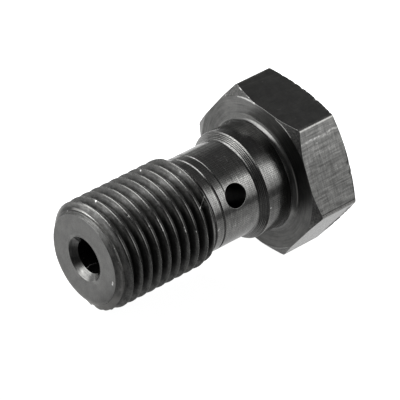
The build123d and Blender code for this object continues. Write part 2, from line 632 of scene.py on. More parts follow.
def head_columns():
    half = [0, 2, 4, 6, 8, 9.4, 10.4, 11.2, 12.2, 13.6, 15.2, 17, 19, 21, 23, 25, 26.6, 27.8, 28.5, 28.81]
    close = [0, 1, 2, 3, 4, 5, 6, 7, 8, 8.8, 9.4, 9.9, 10.4, 10.8, 11.2, 11.7, 12.2, 12.9, 13.6, 14.4]
    close += [15.2, 16.1, 17, 18, 19, 20, 21, 22, 23, 24, 25, 25.8, 26.6, 27.2, 27.8, 28.2, 28.5, 28.81]
    angles = []
    for k in range(6):
        # three of the six sides are nicked along their edges
        own = (close if k < 3 else half) + [29.05, 29.3, 29.53, 29.77]
        angles += [90 + 60 * k + x for x in sorted([-x for x in own if x] + own + [30.0])]
    return np.radians(sorted(x % 360 for x in angles))


def head_row(angle, row):
    """Station and radius of one row of the head at these angles, and the direction of its section there."""
    kind, value = row
    rf = hexagon(angle)
    e = EDGE_ROUND
    if kind == "seat":
        return np.full_like(angle, SEAT), np.full_like(angle, value), 180.0
    if kind == "crown":
        return np.full_like(angle, LENGTH), np.full_like(angle, value), 0.0
    inner = rf - e
    if kind in ("seat_edge", "seat_corner"):
        base = SEAT + e
        n1 = radians(90) - SEAT_CHAMFER  # the chamfer's slope is measured from the seat plane
        # offset chamfer line: -cos(c)*(s-SEAT) + sin(c)*(r-SEAT_R) = -e
        c, sn = cos(SEAT_CHAMFER), sin(SEAT_CHAMFER)
        r01 = SEAT_R + (-e + c * (base - SEAT)) / sn
        active = r01 < inner
        q_s = np.where(active, SEAT + (sn * (inner - SEAT_R) + e) / c, base)
        if kind == "seat_edge":
            qs, qr = np.full_like(angle, base), np.where(active, r01, inner)
        else:
            qs, qr = q_s, inner
    elif kind in ("crown_corner", "crown_edge"):
        base = LENGTH - e
        c, sn = cos(CROWN_CHAMFER), sin(CROWN_CHAMFER)
        r34 = CROWN_R + (-e + c * (LENGTH - base)) / sn
        active = r34 < inner
        q_s = np.where(active, LENGTH - (sn * (inner - CROWN_R) + e) / c, base)
        if kind == "crown_edge":
            qs, qr = np.full_like(angle, base), np.where(active, r34, inner)
        else:
            qs, qr = q_s, inner
    elif kind == "crown_slope":
        psi = degrees(CROWN_CHAMFER)
        s0, r0, _ = head_row(angle, ("crown_corner", psi))
        s1, r1, _ = head_row(angle, ("crown_edge", psi))
        return s0 + (s1 - s0) * value, r0 + (r1 - r0) * value, psi
    elif kind == "flat":
        s0, _, _ = head_row(angle, ("seat_corner", 90.0))
        s1, _, _ = head_row(angle, ("crown_corner", 90.0))
        return s0 + (s1 - s0) * value, rf, 90.0
    psi = radians(value)
    return qs + e * cos(psi), qr + e * sin(psi), value


# how rubbed the two edges of the chamfer on the seat's side are, round the bolt in degrees; their bare colour is partly
# painted highlight
EDGE_TURNS = [0, 58, 62, 68, 73, 78, 104, 109, 121, 128, 140, 200, 260, 280, 300, 360]
EDGE_WEAR_AND_GLINT = [0.5, 0.5, 1.0, 1.3, 1.0, 0.2, 0.15, 0.9, 0.9, 0.35, 0.1, 0.1, 0.7, 0.7, 0.3, 0.5]
CORNER_TURNS = [0, 50, 56, 64, 70, 112, 120, 124, 200, 260, 300, 360]
CORNER_WEAR_AND_GLINT = [0.6, 0.6, 0.9, 0.6, 0.12, 0.12, 0.45, 0.12, 0.12, 0.3, 0.6, 0.6]


def head(skin):
    angle = head_columns()
    chamfer1 = 180 - degrees(SEAT_CHAMFER)
    chamfer2 = degrees(CROWN_CHAMFER)
    rows = [("seat", 7.6), ("seat", 8.2)]
    rows += [("seat_edge", v) for v in np.linspace(180, chamfer1, 5)]
    rows += [("seat_corner", v) for v in np.linspace(chamfer1, 90, 8)]
    rows += [("flat", v) for v in (0.02, 0.05, 0.1, 0.2, 0.35, 0.5, 0.65, 0.8, 0.88, 0.93, 0.96, 0.98)]
    rows += [("crown_corner", v) for v in np.linspace(90, chamfer2, 8)]
    rows += [("crown_slope", v) for v in (0.12, 0.3, 0.6)]
    rows += [("crown_edge", v) for v in np.linspace(chamfer2, 0, 5)]
    rows += [("crown", 7.6), ("crown", 7.2)]
    points, normals, wear_glint_and_shade, kinds = [], [], [], []
    f = 1e-5
    for row in rows:
        s, r, psi = head_row(angle, row)
        before = around(*head_row(angle - f, row)[:2], angle - f)
        after = around(*head_row(angle + f, row)[:2], angle + f)
        points.append(around(s, r, angle))
        # the section runs from the seat over the flat to the crown: its direction is at right angles to psi
        t = radians(psi - 90)
        direction = around(cos(t), sin(t), angle)
        n = np.cross(after - before, direction)
        n /= np.linalg.norm(n, axis=1)[:, None]
        out = around(cos(radians(psi)), sin(radians(psi)), angle)
        n *= np.sign((n * out).sum(1))[:, None]
        normals.append(n)
        # the hexagon's corners are rubbed, their bare colour partly painted highlight
        x = np.abs((np.degrees(angle) - 90 + 30) % 60 - 30)
        w = np.where(x > 28.6, 0.45, 0.0) * (abs(psi - 90) < 1)
        turn = np.degrees(angle) % 360
        if row[0] in ("seat_edge", "crown_edge"):
            a, b = (180, chamfer1) if row[0] == "seat_edge" else (chamfer2, 0)
            how = np.interp(turn, EDGE_TURNS, EDGE_WEAR_AND_GLINT) if row[0] == "seat_edge" else 1.0
            w = w + how * sin(pi * np.clip((psi - a) / (b - a), 0, 1))
        if row[0] in ("seat_corner", "crown_corner"):
            a, b = (chamfer1, 90) if row[0] == "seat_corner" else (90, chamfer2)
            # the crown corner is rubbed, partly a painted highlight, and kept dim along the lower right side's far edge
            # beside its painted shade
            rubbed_and_glinting = np.where((turn > 186) & (turn < 225), 0.1, 0.8)
            how = np.interp(turn, CORNER_TURNS, CORNER_WEAR_AND_GLINT) if row[0] == "seat_corner" else rubbed_and_glinting
            w = np.maximum(w, how * sin(pi * np.clip((psi - a) / (b - a), 0, 1)) + 0 * x)
        wear_glint_and_shade.append(w + 0 * x)
        kinds.append(FLAT if row[0] == "flat" or (row[0].endswith("corner") and abs(psi - 90) < 1) else TURNED)
    kinds = [FLAT if kinds[i] == FLAT and kinds[i + 1] == FLAT else TURNED for i in range(len(kinds) - 1)]
    n = len(angle)
    skin.add(
        np.array(points),
        np.array(normals),
        grid_faces(len(rows), n),
        np.repeat(kinds, n),
        np.array(wear_glint_and_shade),
    )
    return angle


# ---------------------------------------------------------------------------
# Everything together
# ---------------------------------------------------------------------------
def build():
    skin = Skin()
    # drill point, then the bore
    apex = BORE_DEPTH + BORE_R / tan(radians(59))
    ring = np.arange(BORE_COLUMNS) * TAU / BORE_COLUMNS
    slope = np.array([-sin(radians(59)) * 1.0, -cos(radians(59))])
    n_cone = (-cos(radians(90 - 59)), -sin(radians(90 - 59)))
    cone = [(apex - 0.02, 0.02 * tan(radians(59)), *n_cone, 0), (BORE_DEPTH + 0.4, BORE_R - 0.4 * tan(radians(59)), *n_cone, 0), (BORE_DEPTH, BORE_R, *n_cone, 0)]
    revolved(skin, cone, BORE_COLUMNS, DARK)
    rim = around(cone[0][0], cone[0][1], ring)
    skin.add(
        np.concatenate([[[apex, 0, 0]], rim]),
        np.tile([-1.0, 0, 0], (BORE_COLUMNS + 1, 1)),
        [[0, 1 + j, 1 + (j + 1) % BORE_COLUMNS] for j in range(BORE_COLUMNS)],
        DARK,
    )
    bore(skin)
    # countersink and tip face
    face = drawn(
        [(SINK_DEPTH, BORE_R), (0, SINK_R), (0, 3.3)], [0, 0.05, 0], steps=5, wear_glint_and_shade=0.12, rows=(6, 0)
    )
    revolved(skin, face, BORE_COLUMNS, TURNED)
    shank_ring = np.arange(COLUMNS) * TAU / COLUMNS
    stitched(skin, 0.0, 3.3, ring, 3.7, shank_ring, TURNED)
    tip = drawn(
        [(0, 3.7), (0, TIP_FACE), (SHANK_START, TIP_FACE + SHANK_START)],
        [0, 0.05, 0],
        steps=5,
        wear_glint_and_shade=0.2,
        rows=(4, 0),
    )
    tip[-1] = (SHANK_START, float(shank_radius(np.array(SHANK_START), np.array(0.0))), *tip[-1][2:])
    revolved(skin, tip, COLUMNS, TURNED)
    shank(skin)
    # neck end, lathe-marked slope, collar and its fillet
    slope_end = (COLLAR_START, COLLAR_R)
    collar = drawn(
        [
            (SHANK_END, NECK_R),
            (NECK_END, NECK_R),
            slope_end,
            (SEAT, COLLAR_R),
            (SEAT, 7.0),
        ],
        [0, 0.42, 0.09, COLLAR_FILLET, 0],
        steps=8,
        wear_glint_and_shade=0.8,
        rows=(2, 34, 6, 0),
    )
    revolved(skin, [ridged(row) for row in collar], COLUMNS, TURNED)
    head_ring = head(skin)
    stitched(skin, SEAT, 7.0, shank_ring, 7.6, head_ring, TURNED)
    crown_ring = np.arange(72) * TAU / 72
    stitched(skin, LENGTH, 6.4, crown_ring, 7.2, head_ring, TURNED)
    revolved(
        skin,
        [(LENGTH, r, 1.0, 0.0, 0.0) for r in (6.4, 4.4, 2.4, 0.8)],
        72,
        TURNED,
    )
    rim = around(LENGTH, 0.8, crown_ring)
    skin.add(
        np.concatenate([[[LENGTH, 0, 0]], rim]),
        np.tile([1.0, 0, 0], (73, 1)),
        [[0, 1 + j, 1 + (j + 1) % 72] for j in range(72)],
        TURNED,
    )
    return skin


def ridged(row):
    """The turning tool's feed marks on the slope of the collar."""
    s, r, ns, nr, wear_glint_and_shade = row
    t = np.array([COLLAR_START - NECK_END, COLLAR_R - NECK_R])
    length = np.hypot(*t)
    t = t / length
    q = (s - NECK_END) * t[0] + (r - NECK_R) * t[1]
    if not 0.1 < q < length - 0.1 or abs(s - NECK_END) > 0.8:
        return row
    fade = min(1.0, (q - 0.1) / 0.15, (length - 0.1 - q) / 0.12)
    wave = TAU * q / 0.178
    size = 0.0095 * fade
    tilt = size * TAU / 0.178 * cos(wave)
    n = np.array([-t[1], t[0]])
    m = n - tilt * t
    # the wear values paint a highlight on each feed mark's crest and shade in its groove
    return (s + n[0] * size * sin(wave), r + n[1] * size * sin(wave), m[0], m[1], wear_glint_and_shade + fade * (0.2 * max(sin(wave), 0) - 0.7 * max(-sin(wave), 0)))


# ---------------------------------------------------------------------------
# Damage: a burr on the lower edge of the tip, dents in the hexagon's edges and the thread's crests
# ---------------------------------------------------------------------------
BURR_ANGLES = [206, 214, 219, 223, 227, 231, 235, 239, 243, 247, 250, 253, 256, 259, 262, 265, 270, 275]
BURR_HEIGHTS = [0.0, 0.45, 0.72, 0.86, 0.79, 0.87, 0.92, 0.8, 0.84, 0.9, 0.86, 0.64, 0.6, 0.8, 0.7, 0.5, 0.35, 0.0]
ragged = waves(11, 9, 1.3, 0.35)
DENTS = [
    # centre (station, y, z), reach, depth, all in mm; pressed in towards the axis
    ((29.15, 1.34, 8.5), 0.16, 0.10),
    ((29.05, -1.30, 8.5), 0.16, 0.10),
    ((29.13, -1.95, 8.5), 0.22, 0.16),
    ((28.96, -2.6, 8.5), 0.2, 0.08),
    ((28.93, -3.2, 8.5), 0.16, 0.09),
    ((28.90, -3.75, 8.5), 0.2, 0.07),
    ((28.85, -4.45, 8.48), 0.16, 0.10),
    ((29.2, 3.1, 8.5), 0.2, 0.1),
    ((29.28, 2.2, 8.5), 0.14, 0.08),
    ((29.25, 0.3, 8.5), 0.18, 0.12),
    ((29.22, -0.45, 8.5), 0.12, 0.08),
    ((23.5, 1.3, 8.5), 0.8, 0.13),
    ((29.15, -8.30, 2.7), 0.18, 0.07),
    ((29.2, -7.75, 3.6), 0.22, 0.06),
    ((29.11, -8.63, -2.05), 0.18, 0.06),
    ((29.2, -8.1, -2.9), 0.2, 0.06),
    ((29.24, -7.65, -3.74), 0.2, 0.05),
    ((29.22, -6.86, -5.11), 0.22, 0.04),
    ((3.54, -2.11, 5.5), 0.13, 0.05),
    ((6.22, -3.85, 4.59), 0.13, 0.03),
    ((6.32, -4.59, 3.86), 0.13, 0.03),
    ((5.0, -3.88, 4.57), 0.13, 0.03),
    ((8.77, -5.17, 3.01), 0.14, 0.03),
    ((10.05, -5.46, 2.43), 0.12, 0.03),
    ((2.21, 1.27, 5.8), 0.13, 0.06),
    ((9.6, 2.98, 5.1), 0.13, 0.06),
    ((0.0, -4.48, -0.02), 0.12, 0.03),
]


def used(p):
    """Where a point of the sound bolt lies on the used one."""
    s, y, z = p[:, 0], p[:, 1], p[:, 2]
    r = np.maximum(np.hypot(y, z), 1e-6)
    angle = np.arctan2(z, y)
    turn = np.degrees(angle) % 360
    lip = np.interp(turn, [200, 215, 240, 265, 300, 325, 345], [0, 0.03, 0.05, 0.12, 0.12, 0.08, 0])
    edge = np.clip((r - 4.5) / 0.35, 0, 1)
    new = r + lip * np.exp(-((s / 0.35) ** 2)) * edge * edge * (3 - 2 * edge) * (s < 1.4)
    rise = np.clip((s + 0.02) / 0.4, 0, 1) ** 0.85 * np.clip((1.3 - s) / 0.5, 0, 1)
    height = np.interp(turn, BURR_ANGLES, BURR_HEIGHTS)
    height = height * (1 + 0.05 * ragged(2 * s, 6 * angle))
    burr = TIP_FACE + height * rise
    lifted = soft_max(new, burr, 0.05) - new
    lifted = lifted * np.clip(s / 0.06, 0, 1) * (height > 0.01) * (s < 1.3) * (r > 4.6)
    new = new + lifted
    out = np.stack([s, y * new / r, z * new / r], -1)
    inward = np.stack([0 * s, -y / r, -z / r], -1)
    for centre, reach, depth in DENTS:
        far = ((p - np.array(centre)) ** 2).sum(1)
        way = inward if centre[0] > 0.01 else np.array([[1.0, 0, 0]])
        out = out + way * (depth * np.exp(-far / reach**2))[:, None]
    return out, lifted


def damaged(points, normals, wear_glint_and_shade):
    moved, lifted = used(points)
    near = np.linalg.norm(moved - points, axis=1) > 1e-6
    p, n = points[near], normals[near]
    h = 2e-4
    columns = []
    for axis in np.eye(3):
        columns.append((used(p + h * axis)[0] - used(p - h * axis)[0]) / (2 * h))
    a, b, c = columns
    # the surface's normal follows the cofactors of the displacement's gradient
    turned = np.cross(b, c) * n[:, :1] + np.cross(c, a) * n[:, 1:2] + np.cross(a, b) * n[:, 2:]
    size = np.linalg.norm(turned, axis=1)
    good = size > 1e-4
    n = np.where(good[:, None], turned / np.maximum(size, 1e-9)[:, None], n)
    normals = normals.copy()
    normals[near] = n
    s, y, z = points.T
    turn = np.degrees(np.arctan2(z, y)) % 360
    rim = (s < 0.3) & (np.hypot(y, z) > 4.85) & (turn > 215) & (turn < 330)
    wear_glint_and_shade = wear_glint_and_shade + 0.35 * np.clip(lifted / 0.1, 0, 1) + 0.4 * rim
    for centre, reach, depth in DENTS:
        far = ((points - np.array(centre)) ** 2).sum(1)
        if reach < 0.5:
            wear_glint_and_shade = wear_glint_and_shade + (0.12 if centre[0] < 20 else 0.35) * np.exp(-far / (0.7 * reach) ** 2)
    return moved, normals, np.minimum(wear_glint_and_shade, 1.0)


def made_mesh(skin, name):
    points = np.concatenate(skin.points)
    normals = np.concatenate(skin.normals)
    wear_glint_and_shade = np.concatenate(skin.wear_glint_and_shade)
    points, normals, wear_glint_and_shade = damaged(points, normals, wear_glint_and_shade)
    # weld
    key = np.round(points / 2e-5).astype(np.int64)
    _, first_index, inverse = np.unique(key, axis=0, return_index=True, return_inverse=True)
    inverse = inverse.ravel()
    spots = points[first_index]
    worn = np.full(len(spots), -9.0)
    np.maximum.at(worn, inverse, wear_glint_and_shade)
    faces, corners, kinds = [], [], []
    for face, kind in zip(skin.faces, skin.kinds):
        ids = [int(inverse[i]) for i in face]
        keep = [k for k in range(len(ids)) if ids[k] != ids[k - 1]]
        if len(set(ids)) < 3:
            continue
        ids = [ids[k] for k in keep]
        own = [face[k] for k in keep]
        p = spots[ids]
        flat = np.zeros(3)
        for k in range(1, len(ids) - 1):
            flat += np.cross(p[k] - p[0], p[k + 1] - p[0])
        if flat @ normals[own].sum(0) < 0:
            ids, own = ids[::-1], own[::-1]
        faces.append(ids)
        corners.extend(own)
        kinds.append(kind)
    to_world = np.stack([ALONG, np.array([0, 1.0, 0]), UPWARD])
    world = (TIP + spots @ to_world) / 1000
    mesh = bpy.data.meshes.new(name)
    mesh.from_pydata(world.tolist(), [], faces)
    mesh.polygons.foreach_set("material_index", np.array(kinds, np.int32))
    mesh.polygons.foreach_set("use_smooth", np.ones(len(faces), bool))
    # the wear channel also carries painted highlights, and painted shade in the collar's feed marks
    a = mesh.attributes.new("bolt", "FLOAT_VECTOR", "POINT")
    a.data.foreach_set("vector", spots.astype(np.float32).ravel())
    b = mesh.attributes.new("wear_glint_and_shade", "FLOAT", "POINT")
    b.data.foreach_set("value", worn.astype(np.float32))
    mesh.normals_split_custom_set((normals[corners] @ to_world).tolist())
    return mesh


skin = build()
mesh = made_mesh(skin, "banjo_bolt_skin")
bolt = bpy.data.objects.new("banjo_bolt_visual", mesh)
bpy.context.scene.collection.objects.link(bolt)


# ---------------------------------------------------------------------------
# Materials
# ---------------------------------------------------------------------------
class Tree:
    """Short hand for a node tree: node(type, property=..., Input=...) gives the node; a value that is a socket is linked."""

    def __init__(self, tree):
        self.tree = tree
        tree.nodes.clear()

    def node(self, kind, inputs=(), **properties):
        n = self.tree.nodes.new(kind)
        for k, v in properties.items():
            setattr(n, k, v)
        for k, v in dict(inputs).items():
            socket = n.inputs[k]
            if isinstance(v, bpy.types.NodeSocket):
                self.tree.links.new(v, socket)
            else:
                socket.default_value = v
        return n

    def math(self, operation, a, b=0.0, c=0.0, clamp=False):
        n = self.node("ShaderNodeMath", operation=operation, use_clamp=clamp)
        for i, v in enumerate((a, b, c)):
            if isinstance(v, bpy.types.NodeSocket):
                self.tree.links.new(v, n.inputs[i])
            else:
                n.inputs[i].default_value = v
        return n.outputs[0]

    def vector(self, operation, a, b=(0, 0, 0), scale=None):
        n = self.node("ShaderNodeVectorMath", operation=operation)
        for i, v in enumerate((a, b)):
            if isinstance(v, bpy.types.NodeSocket):
                self.tree.links.new(v, n.inputs[i])
            else:
                n.inputs[i].default_value = v
        if scale is not None:
            n.inputs["Scale"].default_value = scale
        return n.outputs["Value" if operation in ("DOT_PRODUCT", "LENGTH") else "Vector"]

    def range(self, value, a, b, c=0.0, d=1.0, smooth=True):
        n = self.node(
            "ShaderNodeMapRange",
            {"Value": value, "From Min": a, "From Max": b, "To Min": c, "To Max": d},
            interpolation_type="SMOOTHSTEP" if smooth else "LINEAR",
            clamp=True,
        )
        return n.outputs["Result"]

    def mix(self, factor, a, b):
        n = self.node("ShaderNodeMix", data_type="RGBA", blend_type="MIX")
        for i, v in ((0, factor), (6, a), (7, b)):
            if isinstance(v, bpy.types.NodeSocket):
                self.tree.links.new(v, n.inputs[i])
            else:
                n.inputs[i].default_value = v
        return n.outputs[2]

    def noise(self, vector, scale, detail=2.0, roughness=0.5, distortion=0.0):
        n = self.node(
            "ShaderNodeTexNoise",
            {"Vector": vector, "Scale": scale, "Detail": detail, "Roughness": roughness, "Distortion": distortion},
        )
        return n.outputs["Fac"]


def steel(name, kind):
    material = bpy.data.materials.new(name)
    material.use_nodes = True
    t = Tree(material.node_tree)
    out = t.node("ShaderNodeOutputMaterial")
    place = t.node("ShaderNodeAttribute", attribute_name="bolt", attribute_type="GEOMETRY").outputs["Vector"]
    wear_glint_and_shade = t.node("ShaderNodeAttribute", attribute_name="wear_glint_and_shade", attribute_type="GEOMETRY").outputs["Fac"]
    split = t.node("ShaderNodeSeparateXYZ", {"Vector": place})
    s, y, z = split.outputs
    r = t.math("SQRT", t.math("ADD", t.math("MULTIPLY", y, y), t.math("MULTIPLY", z, z)))
    unit_y, unit_z = t.math("DIVIDE", y, t.math("MAXIMUM", r, 0.05)), t.math("DIVIDE", z, t.math("MAXIMUM", r, 0.05))

    def combined(a, b, c):
        return t.node("ShaderNodeCombineXYZ", {"X": a, "Y": b, "Z": c}).outputs[0]

    # lathe marks run round the axis: they change quickly with station and radius and slowly round the bolt
    profile = t.math("ADD", s, t.math("MULTIPLY", r, 0.62))
    swirl = combined(t.math("MULTIPLY", profile, 1.0), t.math("MULTIPLY", unit_y, 0.35), t.math("MULTIPLY", unit_z, 0.35))
    fine = t.noise(swirl, 7.5, 3.0, 0.6)
    broad = t.noise(swirl, 2.6, 2.0, 0.5)
    grain = t.noise(place, 8.0, 3.0, 0.65)
    cloud = t.noise(place, 0.9, 3.0, 0.6)
    patch = t.noise(place, 3.1, 4.0, 0.62, 0.4)

    def around_one(value, amount):
        """A factor of about 1 that follows a noise."""
        return t.math("ADD", t.math("MULTIPLY", value, amount), 1.0 - 0.5 * amount)

    def spot(point, radius, amount):
        away = t.node("ShaderNodeVectorMath", {0: place, 1: point}, operation="DISTANCE").outputs["Value"]
        return t.range(away, radius * 0.4, radius, amount, 0.0)

    def scratch(start, end, radius, amount):
        start, end = Vector(start), Vector(end)
        way = end - start
        part = t.vector("DOT_PRODUCT", place, tuple(way / way.length_squared))
        part = t.math("SUBTRACT", part, start.dot(way) / way.length_squared, clamp=True)
        nearest = t.node("ShaderNodeVectorMath", {0: tuple(way), "Scale": part}, operation="SCALE").outputs["Vector"]
        nearest = t.vector("ADD", nearest, tuple(start))
        away = t.node("ShaderNodeVectorMath", {0: place, 1: nearest}, operation="DISTANCE").outputs["Value"]
        return t.range(away, radius * 0.4, radius, amount, 0.0)

    def dark_line(start, end, radius, amount, ragged=0.0):
        """A dark line, with an uneven edge: a factor of 1 away from it."""
        start, end = Vector(start), Vector(end)
        way = end - start
        part = t.vector("DOT_PRODUCT", place, tuple(way / way.length_squared))
        part = t.math("SUBTRACT", part, start.dot(way) / way.length_squared, clamp=True)
        nearest = t.node("ShaderNodeVectorMath", {0: tuple(way), "Scale": part}, operation="SCALE").outputs["Vector"]
        nearest = t.vector("ADD", nearest, tuple(start))
        away = t.node("ShaderNodeVectorMath", {0: place, 1: nearest}, operation="DISTANCE").outputs["Value"]
        away = t.math("ADD", away, t.math("MULTIPLY_ADD", patch, 2.0 * ragged, -ragged))
        return t.range(away, radius * 0.5, radius, 1.0 - amount, 1.0)

    bare_marks_and_glints = None
    for mark in MARKS[kind]:
        found = spot(*mark) if len(mark) == 3 else scratch(*mark)
        bare_marks_and_glints = found if bare_marks_and_glints is None else t.math("MAXIMUM", bare_marks_and_glints, found)

    # this also collects painted glints, besides bare steel
    bare_and_glints = 0.0  # bare steel besides the edges' own wear
    if kind == "flat":
        # drawn bar: lines along the axis, and fine scuffs across
        lines = t.noise(combined(t.math("MULTIPLY", s, 0.07), y, z), 5.5, 2.0, 0.75)
        scuff = t.noise(combined(s, t.math("MULTIPLY", y, 0.10), t.math("MULTIPLY", z, 0.10)), 6.5, 2.0, 0.7)
        height = t.math("ADD", t.math("MULTIPLY", lines, 0.9), t.math("MULTIPLY", scuff, 0.6))
        height = t.math("ADD", height, t.math("MULTIPLY", grain, 0.3))
        strength, distance = 0.6, 0.0000085
        rough = t.range(patch, 0.3, 0.7, 0.16, 0.25)
        tone = t.math("MULTIPLY", around_one(lines, 1.9), around_one(scuff, 1.4))
        tone = t.math("MULTIPLY", tone, around_one(grain, 0.5))
        # the top side is smoother
        calm = t.math("MULTIPLY", around_one(t.noise(place, 5.0, 3.0, 0.7), 0.9), 0.96)
        tone = t.mix(t.range(z, 8.3, 8.45, 0.0, 0.8), tone, calm)
        # painted light: the lower right side is up to 1.4 times lighter
        tone = t.math("MULTIPLY", tone, t.math("MULTIPLY_ADD", t.math("MULTIPLY", t.range(z, -0.9, -0.5, 1.0, 0.0), t.range(y, -5.5, -5.0, 1.0, 0.0)), 0.4, 1.0))
        # one wavy scratch along a side
        wobble = t.noise(combined(s, 0.0, 0.0), 0.8, 2.0, 0.5)
        off = t.math("ADD", y, 5.85)
        off = t.math("ABSOLUTE", t.math("SUBTRACT", off, t.math("MULTIPLY", wobble, 0.4)))
        wavy = t.math("MULTIPLY", t.range(off, 0.02, 0.09, 1.0, 0.0), t.range(z, 6.2, 6.4))
        wavy = t.math("MULTIPLY", wavy, t.range(t.noise(place, 2.5, 2.0), 0.35, 0.65, 0.04, 0.24))
        bare_marks_and_glints = t.math("MAXIMUM", bare_marks_and_glints, wavy)
    elif kind == "thread":
        # marks of the threading tool follow the groove
        turn = t.math("ARCTAN2", z, y)
        groove = t.math("SUBTRACT", s, t.math("MULTIPLY_ADD", turn, PITCH / TAU, FIRST_CREST))
        groove = t.math("WRAP", groove, PITCH, 0.0)
        along = combined(groove, t.math("MULTIPLY", unit_y, 0.9), t.math("MULTIPLY", unit_z, 0.9))
        trail = t.noise(along, 5.0, 3.0, 0.75)
        height = t.math("ADD", t.math("MULTIPLY", trail, 0.9), t.math("MULTIPLY", grain, 0.6))
        strength, distance = 0.6, 0.0000110
        rough = t.math("ADD", t.range(r, 5.5, 5.92, 0.40, 0.23), t.range(patch, 0.3, 0.7, 0.0, 0.07))
        # painted shade: the thread is darker towards its roots than at its crests
        tone = t.math("MULTIPLY", around_one(trail, 2.5), t.range(r, 5.25, 5.9, 0.5, 0.85))
        # painted light: the thread's upper side is up to 1.3 times lighter
        tone = t.math("MULTIPLY", tone, t.range(unit_z, 0.55, 0.85, 1.0, 1.3))
        tone = t.math("MULTIPLY", tone, around_one(grain, 1.3))
        # painted highlight: the crests along the top are made up to twice as light
        painted_top_highlight = t.math("ABSOLUTE", t.math("ADD", unit_y, 0.09))
        painted_top_highlight = t.math("MULTIPLY", t.range(painted_top_highlight, 0.02, 0.28, 1.0, 0.0), t.range(unit_z, 0.5, 0.8))
        painted_top_highlight = t.math("MULTIPLY", painted_top_highlight, t.math("MULTIPLY", t.range(r, 5.72, 5.88, 1.0, 0.15), t.range(s, 1.2, 1.9)))
        # painted shade: the crests on the side of the cross hole are made darker
        painted_crest_shade = t.math("MULTIPLY", t.range(unit_y, -0.5, -0.4, 1.0, 0.0), t.range(unit_z, 0.25, 0.5))
        painted_crest_shade = t.math("MULTIPLY", painted_crest_shade, t.range(r, 5.84, 5.92))
        tone = t.math("MULTIPLY", tone, t.math("MULTIPLY_ADD", painted_crest_shade, -0.55, 1.0))
        tone = t.math("MULTIPLY", tone, t.math("MULTIPLY_ADD", painted_top_highlight, 1.0, 1.0))
        # painted shade on the +y side, and painted light underneath
        tone = t.math("MULTIPLY", tone, t.range(unit_y, 0.1, 0.5, 1.0, 0.58))
        tone = t.math("MULTIPLY", tone, t.range(unit_z, -0.3, -0.02, 1.8, 1.0))
        # painted shade in the grooves of one side
        side = t.math("ADD", t.math("MULTIPLY", unit_y, -0.966), t.math("MULTIPLY", unit_z, 0.259))
        painted_groove_shade = t.math("MULTIPLY", t.range(side, 0.62, 0.93), t.range(r, 5.6, 5.93, 1.0, 0.0))
        painted_groove_shade = t.math("MULTIPLY", painted_groove_shade, t.range(s, 1.3, 2.2))
        painted_groove_shade = t.math("MULTIPLY", painted_groove_shade, t.range(s, 12.36, 12.44, 1.0, 0.0))
        tone = t.math("MULTIPLY", tone, t.range(painted_groove_shade, 0.0, 1.0, 1.0, 0.45))
        # the bruised chamfer of the tip: matt, with bright streaks
        tip = t.math("MULTIPLY", t.range(s, 0.85, 1.1, 1.0, 0.0), t.range(r, 4.8, 4.9))
        streak = t.noise(combined(t.math("MULTIPLY", s, 2.2), t.math("MULTIPLY", unit_y, 5.0), t.math("MULTIPLY", unit_z, 5.0)), 1.7, 3.0, 0.6)
        lower = t.math("MULTIPLY", tip, t.range(unit_z, 0.2, 0.75, 1.0, 0.0))
        rough = t.math("ADD", rough, t.math("MULTIPLY", tip, 0.06))
        tone = t.math("MULTIPLY", tone, t.range(tip, 0.0, 1.0, 1.0, 1.35))
        bare_and_glints = t.math("MULTIPLY", lower, t.range(streak, 0.35, 0.7, 0.18, 0.62))
        bare_and_glints = t.math("MULTIPLY", bare_and_glints, t.range(s, 0.05, 0.5, 0.35, 1.0))
        bare_and_glints = t.math("MAXIMUM", bare_and_glints, t.math("MULTIPLY", t.range(unit_z, -0.45, -0.1, 0.75, 0.0), tip))
        # painted highlight: the crests' far edges are given bare colour along the top
        painted_crest_glint = t.range(t.math("ABSOLUTE", t.math("SUBTRACT", groove, 0.06)), 0.025, 0.06, 1.0, 0.0)
        painted_crest_glint = t.math("MULTIPLY", painted_crest_glint, t.range(r, 5.88, 5.93))
        painted_crest_glint = t.math("MULTIPLY", painted_crest_glint, t.range(t.math("ABSOLUTE", t.math("ADD", unit_y, 0.13)), 0.06, 0.2, 1.0, 0.0))
        painted_crest_glint = t.math("MULTIPLY", painted_crest_glint, t.range(patch, 0.35, 0.6, 0.2, 0.9))
        bare_and_glints = t.math("MAXIMUM", bare_and_glints, t.math("MULTIPLY", painted_crest_glint, t.range(unit_z, 0.5, 0.8)))
        # a rubbed line on the chamfer's upper side, brightened there as a painted highlight
        ring = t.range(t.math("ABSOLUTE", t.math("SUBTRACT", s, 0.54)), 0.05, 0.12, 1.0, 0.0)
        ring = t.math("MULTIPLY", t.math("MULTIPLY", ring, tip), t.range(unit_z, 0.8, 0.92))
        ring = t.math("MULTIPLY", ring, t.range(unit_y, 0.1, 0.4, 1.0, 0.3))
        bare_and_glints = t.math("MAXIMUM", bare_and_glints, t.math("MULTIPLY", ring, 0.9))
        ring = t.math("MULTIPLY", ring, t.range(streak, 0.3, 0.6, 0.25, 0.5))
        bare_marks_and_glints = t.math("MAXIMUM", bare_marks_and_glints, t.math("MULTIPLY", ring, t.range(unit_y, -0.3, -0.1)))
        # the worn top of the last crest, its brightness partly a painted highlight
        last = t.math("MULTIPLY", t.range(s, 12.38, 12.44), t.range(s, 12.62, 12.68, 1.0, 0.0))
        last = t.math("MULTIPLY", last, t.math("MULTIPLY", t.range(unit_y, -0.95, -0.9, 1.0, 0.0), t.range(r, 5.7, 5.74)))
        bare_and_glints = t.math("MAXIMUM", bare_and_glints, t.math("MULTIPLY", last, 0.3))
